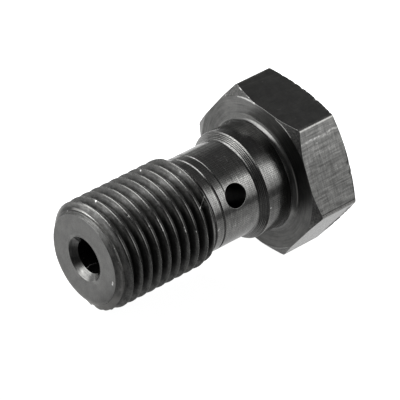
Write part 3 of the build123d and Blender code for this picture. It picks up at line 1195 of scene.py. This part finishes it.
        # painted shade: the crests' rubbed and glinting edges are dimmed on some sides and along the top
        crest_glint_dimming = t.range(turn, radians(106), radians(122), 1.0, 0.42)
        crest_glint_dimming = t.math("ADD", crest_glint_dimming, t.range(turn, radians(158), radians(176), 0.0, 0.5))
        crest_glint_dimming = t.math("MULTIPLY", crest_glint_dimming, t.range(unit_y, 0.05, 0.7, 1.0, 0.3))
        crest_glint_dimming = t.math("MULTIPLY", crest_glint_dimming, t.range(s, 0.9, 2.6, 0.4, 1.0))
        top = t.range(t.math("ABSOLUTE", t.math("ADD", unit_y, 0.1)), 0.05, 0.25, 1.0, 0.0)
        top = t.math("MULTIPLY", top, t.range(unit_z, 0.5, 0.8))
        crest_glint_dimming = t.math("MULTIPLY", crest_glint_dimming, t.math("MULTIPLY_ADD", top, -0.5, 1.0))
        wear_glint_and_shade = t.math("MULTIPLY", wear_glint_and_shade, crest_glint_dimming)
        # a thin scratch across the last groove
        line = t.math("SUBTRACT", t.vector("DOT_PRODUCT", place, (0.582, -0.793, -0.181)), 9.352)
        line = t.range(t.math("ABSOLUTE", line), 0.015, 0.05, 0.7, 0.0)
        line = t.math("MULTIPLY", line, t.range(s, 11.3, 11.35))
        line = t.math("MULTIPLY", line, t.range(y, -3.2, -3.0, 1.0, 0.0))
        bare_marks_and_glints = t.math("MAXIMUM", bare_marks_and_glints, t.math("MULTIPLY", line, t.range(z, 3.0, 3.2)))
    elif kind == "dark":
        height = t.math("ADD", fine, t.math("MULTIPLY", grain, 0.6))
        strength, distance = 0.6, 0.000010
        rough = t.range(patch, 0.3, 0.7, 0.32, 0.45)
        # painted shade: the walls of the bore, cross hole and drill point are 0.28 times as light as the steel outside
        tone = t.math("MULTIPLY", around_one(fine, 0.8), 0.28)
    else:
        height = t.math("ADD", t.math("MULTIPLY", fine, 1.0), t.math("MULTIPLY", broad, 0.5))
        height = t.math("ADD", height, t.math("MULTIPLY", grain, 0.35))
        strength, distance = 0.6, 0.0000085
        rough = t.range(patch, 0.3, 0.7, 0.13, 0.20)
        # the sawn tip face is matt
        face = t.math("MULTIPLY", t.range(s, 0.01, 0.04, 1.0, 0.0), t.range(r, 2.7, 2.9))
        rough = t.math("MAXIMUM", rough, t.math("MULTIPLY", face, 0.34))
        # the seat is matt too
        seat = t.math("MULTIPLY", t.range(s, 23.35, 23.45), t.range(s, 24.6, 24.7, 1.0, 0.0))
        seat = t.math("MULTIPLY", seat, t.range(r, 6.5, 6.8))
        rough = t.math("MAXIMUM", rough, t.math("MULTIPLY", seat, 0.33))
        tone = t.math("MULTIPLY", around_one(fine, 1.2), around_one(grain, 0.7))
        plain = t.math("MULTIPLY", around_one(grain, 0.8), around_one(t.noise(place, 5.0, 2.0), 0.3))
        plain = t.math("MULTIPLY", plain, 0.98)
        tone = t.mix(t.math("MULTIPLY", face, 0.9), tone, plain)
        # painted shade on one side of the seat
        side = t.math("ADD", t.math("MULTIPLY", unit_y, -0.469), t.math("MULTIPLY", unit_z, 0.883))
        tone = t.math("MULTIPLY", tone, t.range(t.math("MULTIPLY", seat, t.range(side, 0.8, 0.97)), 0.0, 1.0, 1.0, 0.62))
        height = t.math("MULTIPLY", height, t.math("SUBTRACT", 1.0, t.math("MULTIPLY", face, 0.7)))
        # neck and collar: fine feed marks, and a weave of two directions from polishing
        barrel = t.math("MULTIPLY", t.range(s, 13.3, 13.5), t.range(s, 23.0, 23.2, 1.0, 0.0))
        barrel = t.math("MULTIPLY", barrel, t.range(r, 5.0, 5.2))
        way = t.math("ADD", t.math("MULTIPLY", y, 0.643), t.math("MULTIPLY", z, 0.766))
        across = t.math("ADD", s, way), t.math("SUBTRACT", s, way)
        shaken = t.math("MULTIPLY", t.noise(place, 2.2, 2.0, 0.5), 9.0)
        weave = [t.math("SINE", t.math("MULTIPLY_ADD", a, 15.5, shaken)) for a in across]
        weave = t.math("MULTIPLY", weave[0], weave[1])
        weave_and_painted_light = t.math("MULTIPLY_ADD", weave, t.range(patch, 0.35, 0.65, 0.18, 0.5), 1.0)
        weave_and_painted_light = t.math("MULTIPLY", weave_and_painted_light, around_one(t.noise(place, 4.5, 2.0, 0.6), 0.8))
        feed = t.math("SINE", t.math("MULTIPLY_ADD", s, 29.0, t.math("MULTIPLY", broad, 5.0)))
        weave_and_painted_light = t.math("MULTIPLY", weave_and_painted_light, t.math("MULTIPLY_ADD", feed, 0.12, 1.0))
        # painted shade: a darker stripe along the barrel; painted light on one side of the neck and a little underneath
        side = t.math("ADD", t.math("MULTIPLY", unit_y, -0.94), t.math("MULTIPLY", unit_z, 0.342))
        weave_and_painted_light = t.math("MULTIPLY", weave_and_painted_light, t.range(side, 0.95, 0.995, 1.0, 0.72))
        weave_and_painted_light = t.math("MULTIPLY", weave_and_painted_light, t.range(unit_z, -0.3, -0.05, 1.1, 1.0))
        weave_and_painted_light = t.math("MULTIPLY", weave_and_painted_light, t.math("ADD", 1.0, t.math("MULTIPLY", t.range(unit_y, 0.1, 0.35, 0.0, 0.5), t.range(s, 19.0, 19.2, 1.0, 0.0))))
        # painted shade on the collar's top
        side = t.math("ADD", t.math("MULTIPLY", unit_y, 0.087), t.math("MULTIPLY", unit_z, 0.996))
        painted_collar_top_shade = t.math("MULTIPLY", t.range(side, 0.8, 0.94), t.range(s, 19.9, 20.1))
        weave_and_painted_light = t.math("MULTIPLY", weave_and_painted_light, t.math("MULTIPLY_ADD", painted_collar_top_shade, -0.42, 1.0))
        tone = t.math("MULTIPLY", tone, t.mix(barrel, (1, 1, 1, 1), weave_and_painted_light))
        # painted shadow in the tool's trace beside the last crest, on one side
        trace = t.math("MULTIPLY", t.range(s, 13.13, 13.18), t.range(s, 13.31, 13.37, 1.0, 0.0))
        trace = t.math("MULTIPLY", trace, t.range(unit_y, -0.97, -0.93, 1.0, 0.0))
        tone = t.math("MULTIPLY", tone, t.math("MULTIPLY_ADD", trace, -0.6, 1.0))
        # painted shade in the fillet under the seat, with a painted highlight line round it
        painted_fillet_shade = t.math("MULTIPLY", t.range(s, 22.75, 22.9), t.range(r, 6.62, 6.75, 1.0, 0.0))
        side = t.math("ADD", t.math("MULTIPLY", unit_y, -0.883), t.math("MULTIPLY", unit_z, 0.469))
        painted_fillet_shade = t.math("MULTIPLY", painted_fillet_shade, t.range(side, 0.72, 0.88))
        tone = t.math("MULTIPLY", tone, t.math("MULTIPLY_ADD", painted_fillet_shade, -0.5, 1.0))
        rough = t.math("MAXIMUM", rough, t.math("MULTIPLY", painted_fillet_shade, 0.34))
        line = t.range(t.math("ABSOLUTE", t.math("SUBTRACT", r, 6.47)), 0.03, 0.09, 1.0, 0.0)
        line = t.math("MULTIPLY", line, t.range(s, 23.2, 23.3))
        line = t.math("MULTIPLY", line, t.range(unit_y, -0.85, -0.7, 1.0, 0.0))
        line = t.math("MULTIPLY", line, t.range(unit_z, -0.12, 0.12))
        bare_and_glints = t.math("MULTIPLY", line, 0.45)
        # the seat's chamfer is rougher
        slope = t.math("MULTIPLY", t.range(r, 8.6, 8.68), t.range(s, 24.6, 24.7, 1.0, 0.0))
        slope = t.math("MULTIPLY", slope, t.range(s, 23.4, 23.5))
        coarse = t.math("MULTIPLY", around_one(t.noise(place, 4.6, 2.0, 0.6), 2.2), 0.95)
        tone = t.mix(slope, tone, t.math("MULTIPLY", tone, coarse))
        # the collar's cone: painted light beside the bright upper side, painted shade low down
        cone = t.math("MULTIPLY", t.range(s, 19.1, 19.2), t.range(s, 19.88, 19.98, 1.0, 0.0))
        side = t.math("ADD", t.math("MULTIPLY", unit_y, -0.574), t.math("MULTIPLY", unit_z, 0.819))
        painted_cone_light_and_shade = t.math("MULTIPLY", t.range(side, 0.972, 0.995, 1.0, 1.75), t.range(unit_z, -0.3, 0.1, 0.6, 1.0))
        tone = t.mix(cone, tone, t.math("MULTIPLY", tone, painted_cone_light_and_shade))
        # the countersink's tool left rings
        sink = t.math("MULTIPLY", t.range(r, 2.5, 2.56, 1.0, 0.0), t.range(s, 0.64, 0.7, 1.0, 0.0))
        rings = combined(t.math("SUBTRACT", r, s), t.math("MULTIPLY", unit_y, 0.4), t.math("MULTIPLY", unit_z, 0.4))
        rings = around_one(t.noise(rings, 5.5, 2.0, 0.6), 1.7)
        tone = t.mix(sink, tone, t.math("MULTIPLY", tone, rings))
        # painted shade on two sides of the countersink
        side = t.math("ADD", t.math("MULTIPLY", unit_y, 0.966), t.math("MULTIPLY", unit_z, 0.259))
        painted_sink_shade = t.math("MULTIPLY", t.range(side, 0.35, 0.85), t.range(r, 2.45, 2.55, 1.0, 0.0))
        tone = t.math("MULTIPLY", tone, t.range(painted_sink_shade, 0.0, 1.0, 1.0, 0.4))
        side = t.math("ADD", t.math("MULTIPLY", unit_y, -0.34), t.math("MULTIPLY", unit_z, 0.94))
        painted_sink_shade = t.math("MULTIPLY", t.range(side, 0.8, 1.0), t.range(r, 2.45, 2.55, 1.0, 0.0))
        tone = t.math("MULTIPLY", tone, t.range(painted_sink_shade, 0.0, 1.0, 1.0, 0.7))

    # oxide film: dark and a little uneven; bare steel where edges are rubbed and where highlights are painted, painted
    # shade in the tool's grooves
    dark = t.mix(t.range(cloud, 0.3, 0.7), (0.128, 0.128, 0.125, 1), (0.162, 0.1615, 0.157, 1))
    dark = t.mix(t.range(patch, 0.55, 0.8, 0.0, 0.35), dark, (0.19, 0.188, 0.182, 1))
    painted_shade_and_stains = t.range(wear_glint_and_shade, -0.7, 0.0, 0.35, 1.0, False)
    # from the collar's slope on and away from the top, the grooves' painted shade gives way to an even darkening to 0.8
    below_top_past_neck = t.math("MULTIPLY", t.range(s, 18.9, 19.0), t.range(unit_z, 0.5, 0.75, 1.0, 0.0))
    painted_shade_and_stains = t.mix(below_top_past_neck, painted_shade_and_stains, (0.8, 0.8, 0.8, 1))
    for mark in STAINS_AND_SHADE[kind]:
        painted_shade_and_stains = t.math("MULTIPLY", painted_shade_and_stains, dark_line(*mark))
    dark = t.vector("MULTIPLY", dark, t.node("ShaderNodeCombineXYZ", {"X": t.math("MULTIPLY", tone, painted_shade_and_stains), "Y": t.math("MULTIPLY", tone, painted_shade_and_stains), "Z": t.math("MULTIPLY", tone, painted_shade_and_stains)}).outputs[0])
    rubbed_and_glinting = t.math("MULTIPLY", wear_glint_and_shade, t.range(patch, 0.3, 0.62, 0.3, 0.95), clamp=True)
    rubbed_and_glinting = t.math("MAXIMUM", rubbed_and_glinting, bare_and_glints)
    colour = t.mix(rubbed_and_glinting, dark, (0.42, 0.415, 0.40, 1))
    if bare_marks_and_glints is not None:
        colour = t.mix(bare_marks_and_glints, colour, (0.86, 0.855, 0.84, 1))
        rough = t.math("MAXIMUM", rough, t.math("MULTIPLY", bare_marks_and_glints, 0.45))
    bump = t.node("ShaderNodeBump", {"Strength": strength, "Distance": distance, "Height": height})
    inputs = {"Base Color": colour, "Metallic": 1.0, "Roughness": rough, "Normal": bump.outputs[0]}
    if kind == "flat":
        # painted shade: the far edge's reflection is kept dark at a glance
        glance = 1.0
        for mark in GLANCE:
            glance = t.math("MULTIPLY", glance, dark_line(*mark))
        inputs["Specular Tint"] = combined(glance, glance, glance)
    shader = t.node("ShaderNodeBsdfPrincipled", inputs)
    t.tree.links.new(shader.outputs[0], out.inputs[0])
    return material


# small bare marks at dings and scratches, painted bright enough to stand in for their glints as well: (point, radius,
# amount) or (start, end, radius, amount), points as (station, y, z) in mm
MARKS = {
    "thread": [
        ((2.214, 1.269, 5.784), 0.17, 1.0),
        ((9.598, 2.977, 5.013), 0.15, 1.0),
        ((12.21, -0.205, 5.679), 0.15, 0.6),
        ((12.359, -1.468, 5.395), 0.13, 0.6),
        ((11.069, -0.717, 5.92), 0.08, 0.15),
        ((9.85, -0.488, 5.966), 0.08, 0.15),
        ((8.097, 0.598, 5.234), 0.1, 0.35),
        ((3.539, -2.109, 5.467), 0.11, 0.25),
        ((6.15, -3.6, 4.75), (6.222, -3.849, 4.586), 0.09, 0.16),
        ((6.23, -3.9, 4.5), (6.316, -4.588, 3.858), 0.09, 0.14),
        ((5.004, -3.882, 4.567), 0.12, 0.08),
        ((8.75, -5.0, 3.3), (8.79, -5.24, 2.85), 0.1, 0.3),
        ((0.066, -2.562, -4.447), (0.05, -2.1, -4.62), 0.08, 0.35),
        ((10.045, -5.464, 2.427), 0.11, 0.35),
        ((0.309, 3.335, 3.996), 0.1, 0.6),
        ((0.664, -3.667, 3.731), 0.08, 0.35),
        ((0.44, -4.649, 2.685), 0.07, 0.3),
    ],
    "turned": [
        ((0.0, -4.47, -0.2), (0.0, -4.48, 0.14), 0.12, 0.75),
        ((12.777, 1.023, 5.175), 0.1, 0.6),
        ((13.4, -5.27, 0.62), (13.56, -5.25, 0.8), 0.09, 0.35),
        ((17.189, -0.181, 5.307), 0.16, 0.14),
        ((17.0, -0.6, 5.27), (17.2, -0.9, 5.23), 0.1, 0.13),
        ((17.893, -0.638, 5.271), 0.18, 0.14),
        ((17.8, -1.0, 5.21), (17.717, -1.32, 5.143), 0.1, 0.12),
        ((20.06, -6.0, 0.89), 0.1, 0.5),
        ((23.5, 3.9, 7.66), (23.5, 3.3, 7.93), 0.09, 0.45),
        ((23.5, 3.3, 7.93), (23.5, 2.7, 8.13), 0.12, 0.65),
        ((23.5, 2.7, 8.13), (23.5, 2.0, 8.27), 0.15, 0.7),
        ((23.5, 2.0, 8.27), (23.5, 1.4, 8.3), 0.13, 0.5),
        ((23.5, -1.9, 8.36), (23.505, -2.85, 8.17), 0.08, 0.7),
        ((23.505, -2.85, 8.17), (23.52, -3.64, 7.89), 0.07, 0.7),
        ((23.52, -3.64, 7.89), (23.515, -4.3, 7.53), 0.07, 0.45),
        ((23.59, -3.0, -8.3), (23.583, -4.03, -7.84), 0.08, 0.12),
        ((23.583, -4.03, -7.84), (23.57, -4.78, -7.37), 0.08, 0.16),
        ((23.57, -4.78, -7.37), (23.515, -5.67, -6.57), 0.08, 0.13),
        ((23.93, 4.18, 8.45), (23.85, 3.8, 8.45), 0.1, 0.6),
        ((23.66, 2.45, 8.45), (23.64, 2.3, 8.44), 0.1, 0.6),
        ((23.571, 5.771, 6.629), 0.12, 0.5),
    ],
    "flat": [
        ((25.866, -5.92, 6.746), 0.12, 0.2),
        ((25.821, -5.883, 6.81), (26.063, -7.385, 4.209), 0.06, 0.07),
        ((23.991, 4.104, 8.5), (28.697, 3.662, 8.5), 0.06, 0.07),
        ((26.564, 3.51, 8.5), 0.1, 0.15),
        ((26.75, 3.25, 8.5), 0.07, 0.12),
        ((25.2, -3.1, 8.5), 0.1, 0.12),
        ((24.6, -0.9, 8.5), (24.9, -1.1, 8.5), 0.06, 0.1),
    ],
    "dark": [
        ((0.85, 0.38, -1.81), (1.3, 0.5, -1.78), 0.07, 0.95),
        ((1.3, 0.5, -1.78), (1.8, 0.45, -1.79), 0.06, 0.8),
        ((1.8, 0.45, -1.79), (2.4, 0.34, -1.82), 0.06, 0.5),
        ((1.1, 1.3, -1.32), 0.1, 0.4),
    ],
}

def far_edge(turn, inset=0.05):
    """A point just inside the far edge of a side of the hexagon, at an angle in degrees."""
    away = radians((turn + 30 - 90) % 60 - 30)
    r = FLATS / 2 / cos(away)
    return (LENGTH - (r - CROWN_R) * tan(CROWN_CHAMFER) - inset, r * cos(radians(turn)), r * sin(radians(turn)))


# painted shade along the lower right side's far edge: (from, to, amount)
FAR_EDGE_SHADE = ((187, 189, 0.8), (193, 199, 0.55), (205, 209, 0.95), (212, 218, 0.98), (219, 224, 0.75))

# dark lines, some stains and some painted shade: (start, end, radius, amount, raggedness)
STAINS_AND_SHADE = {
    "thread": [((0.6, -0.8, 5.17), (0.5, -2.0, 4.83), 0.08, 0.6, 0.12)],
    "turned": [
        ((23.515, 5.58, 6.65), (23.515, 4.3, 7.54), 0.09, 0.45, 0.05),
        # painted shade just past the lower right side's far edge
        (far_edge(205, -0.05), far_edge(219, -0.05), 0.25, 0.8, 0.1),
    ],
    "flat": [
        # painted shade: dark bands along the edge between the right and lower right sides, and along the right side's
        # far edge
        ((23.9, -9.64, 0.3), (29.2, -9.64, 0.3), 0.1, 0.62),
        ((23.9, -9.74, 0.0), (29.2, -9.74, 0.0), 0.32, 0.3),
        *[(far_edge(a), far_edge(b), 0.13, 0.6, 0.16) for a, b in ((146, 154), (155, 163), (163, 171), (171, 177))],
        *[(far_edge(a, 0.28), far_edge(b, 0.28), 0.52, c, 0.15) for a, b, c in FAR_EDGE_SHADE],
    ],
    "dark": [],
}

GLANCE = [(far_edge(a, 0.28), far_edge(b, 0.28), 0.52, c, 0.15) for a, b, c in FAR_EDGE_SHADE]

for name, kind in (
    ("steel_thread", "thread"),
    ("steel_turned", "turned"),
    ("steel_flats", "flat"),
    ("steel_bore", "dark"),
):
    mesh.materials.append(steel(name, kind))

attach(bolt, "root")
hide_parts("banjo_bolt")

# ---------------------------------------------------------------------------
# Floor, studio and camera
# ---------------------------------------------------------------------------
turns = np.arange(96) * TAU / 96
floor_mesh = bpy.data.meshes.new("floor")
floor_points = [(0.0, 0.0, 0.0)] + [(0.11 * cos(a), 0.11 * sin(a), 0.0) for a in turns]
floor_mesh.from_pydata(floor_points, [], [[0, 1 + i, 1 + (i + 1) % 96] for i in range(96)])
floor = bpy.data.objects.new("floor", floor_mesh)
bpy.context.scene.collection.objects.link(floor)
pale = bpy.data.materials.new("pale_floor")
pale.use_nodes = True
t = Tree(pale.node_tree)
ground = t.node("ShaderNodeSeparateXYZ", {"Vector": t.node("ShaderNodeNewGeometry").outputs["Position"]})
# the black flag's side of the floor is darker
near = t.range(ground.outputs[1], -0.003, 0.0005, 1.0, 0.0)
slant = t.math("MULTIPLY_ADD", ground.outputs[1], 0.5, ground.outputs[0])
near = t.math("MULTIPLY", near, t.range(slant, -0.0015, 0.0002, 1.0, 0.0))
white = t.node("ShaderNodeBsdfDiffuse", {"Color": t.mix(near, (0.71, 0.71, 0.71, 1), (0.12, 0.12, 0.12, 1))})
sight = t.node("ShaderNodeLightPath").outputs["Is Camera Ray"]
away = t.range(t.vector("LENGTH", t.node("ShaderNodeNewGeometry").outputs["Position"]), 0.02, 0.09, 1.0, 0.35, False)
bright = t.math("MULTIPLY", t.range(near, 0.0, 1.0, 0.54, 0.2), away)
bright = t.math("MAXIMUM", t.math("MULTIPLY", sight, 0.96), bright)
glow = t.node("ShaderNodeEmission", {"Color": (1, 1, 1, 1), "Strength": bright})
both = t.node("ShaderNodeAddShader", {0: white.outputs[0], 1: glow.outputs[0]})
t.node("ShaderNodeOutputMaterial", {"Surface": both.outputs[0]})
floor_mesh.materials.append(pale)

world = bpy.data.worlds.new("studio")
bpy.context.scene.world = world
world.use_nodes = True
t = Tree(world.node_tree)
direction = t.node("ShaderNodeTexCoord").outputs["Generated"]


level = t.node("ShaderNodeVectorMath", {0: t.vector("MULTIPLY", direction, (1, 1, 0))}, operation="NORMALIZE").outputs[0]
height = t.math("MULTIPLY", t.math("ARCSINE", t.node("ShaderNodeSeparateXYZ", {"Vector": direction}).outputs[2]), 180 / pi)


def window(azimuth, half_width, soft, low, high, soft_low, soft_high):
    """1 inside a stretch of the studio's wall: azimuth, half width and the two heights in degrees, with soft edges."""
    a = radians(azimuth)
    turn = t.math("MULTIPLY", t.math("ARCCOSINE", t.vector("DOT_PRODUCT", level, (cos(a), sin(a), 0))), 180 / pi)
    mask = t.range(turn, half_width - soft, half_width + soft, 1.0, 0.0)
    mask = t.math("MULTIPLY", mask, t.range(height, low - soft_low, low + soft_low))
    return t.math("MULTIPLY", mask, t.range(height, high - soft_high, high + soft_high, 1.0, 0.0))


def brighten(light, mask, value):
    return t.math("ADD", light, t.math("MULTIPLY", mask, value))


room = t.range(height, -4.0, 40.0, 0.34, 0.20)
light = room
# pale wall behind and to the left
light = brighten(light, window(118, 34, 12, -12, 18, 6, 8), 0.62)
# black flag beside the camera
flag = window(-140, 52, 9, -60, 70, 8, 20)
light = t.math("MULTIPLY", light, t.math("SUBTRACT", 1.0, t.math("MULTIPLY", flag, 0.75)))
# second soft light at the back left
light = brighten(light, window(143, 30, 13, 13, 58, 9, 6), 3.5)
# big soft light on the right, brightest high up, with a glow above it
light = brighten(light, window(-50, 34, 8, 8.0, 48, 2.5, 5), t.range(height, 8.0, 38.0, 1.15, 2.55))
light = brighten(light, window(-56, 30, 12, 44, 60, 6, 5), 0.42)
light = brighten(light, window(182, 13, 9, 16, 40, 6, 8), 0.5)
seen = t.node("ShaderNodeLightPath").outputs["Is Camera Ray"]
strength = t.math("ADD", t.math("MULTIPLY", light, t.math("SUBTRACT", 1.0, seen)), t.math("MULTIPLY", seen, 1.0))
background = t.node("ShaderNodeBackground", {"Color": (1, 1, 1, 1), "Strength": strength})
t.node("ShaderNodeOutputWorld", {"Surface": background.outputs[0]})

camera_data = bpy.data.cameras.new("camera")
camera_data.sensor_width = 36.0
camera_data.lens = 261.113
camera_data.clip_start, camera_data.clip_end = 0.02, 5.0
camera = bpy.data.objects.new("camera", camera_data)
bpy.context.scene.collection.objects.link(camera)
camera.matrix_world = Matrix(
    (
        (0.736936835, 0.291933511, -0.609671163, -0.18330382),
        (-0.656735513, 0.522796213, -0.543491109, -0.16399892),
        (0.160070508, 0.800911321, 0.576990890, 0.18174612),
        (0, 0, 0, 1),
    )
)
bpy.context.scene.camera = camera
bpy.context.scene.view_settings.view_transform = "Standard"
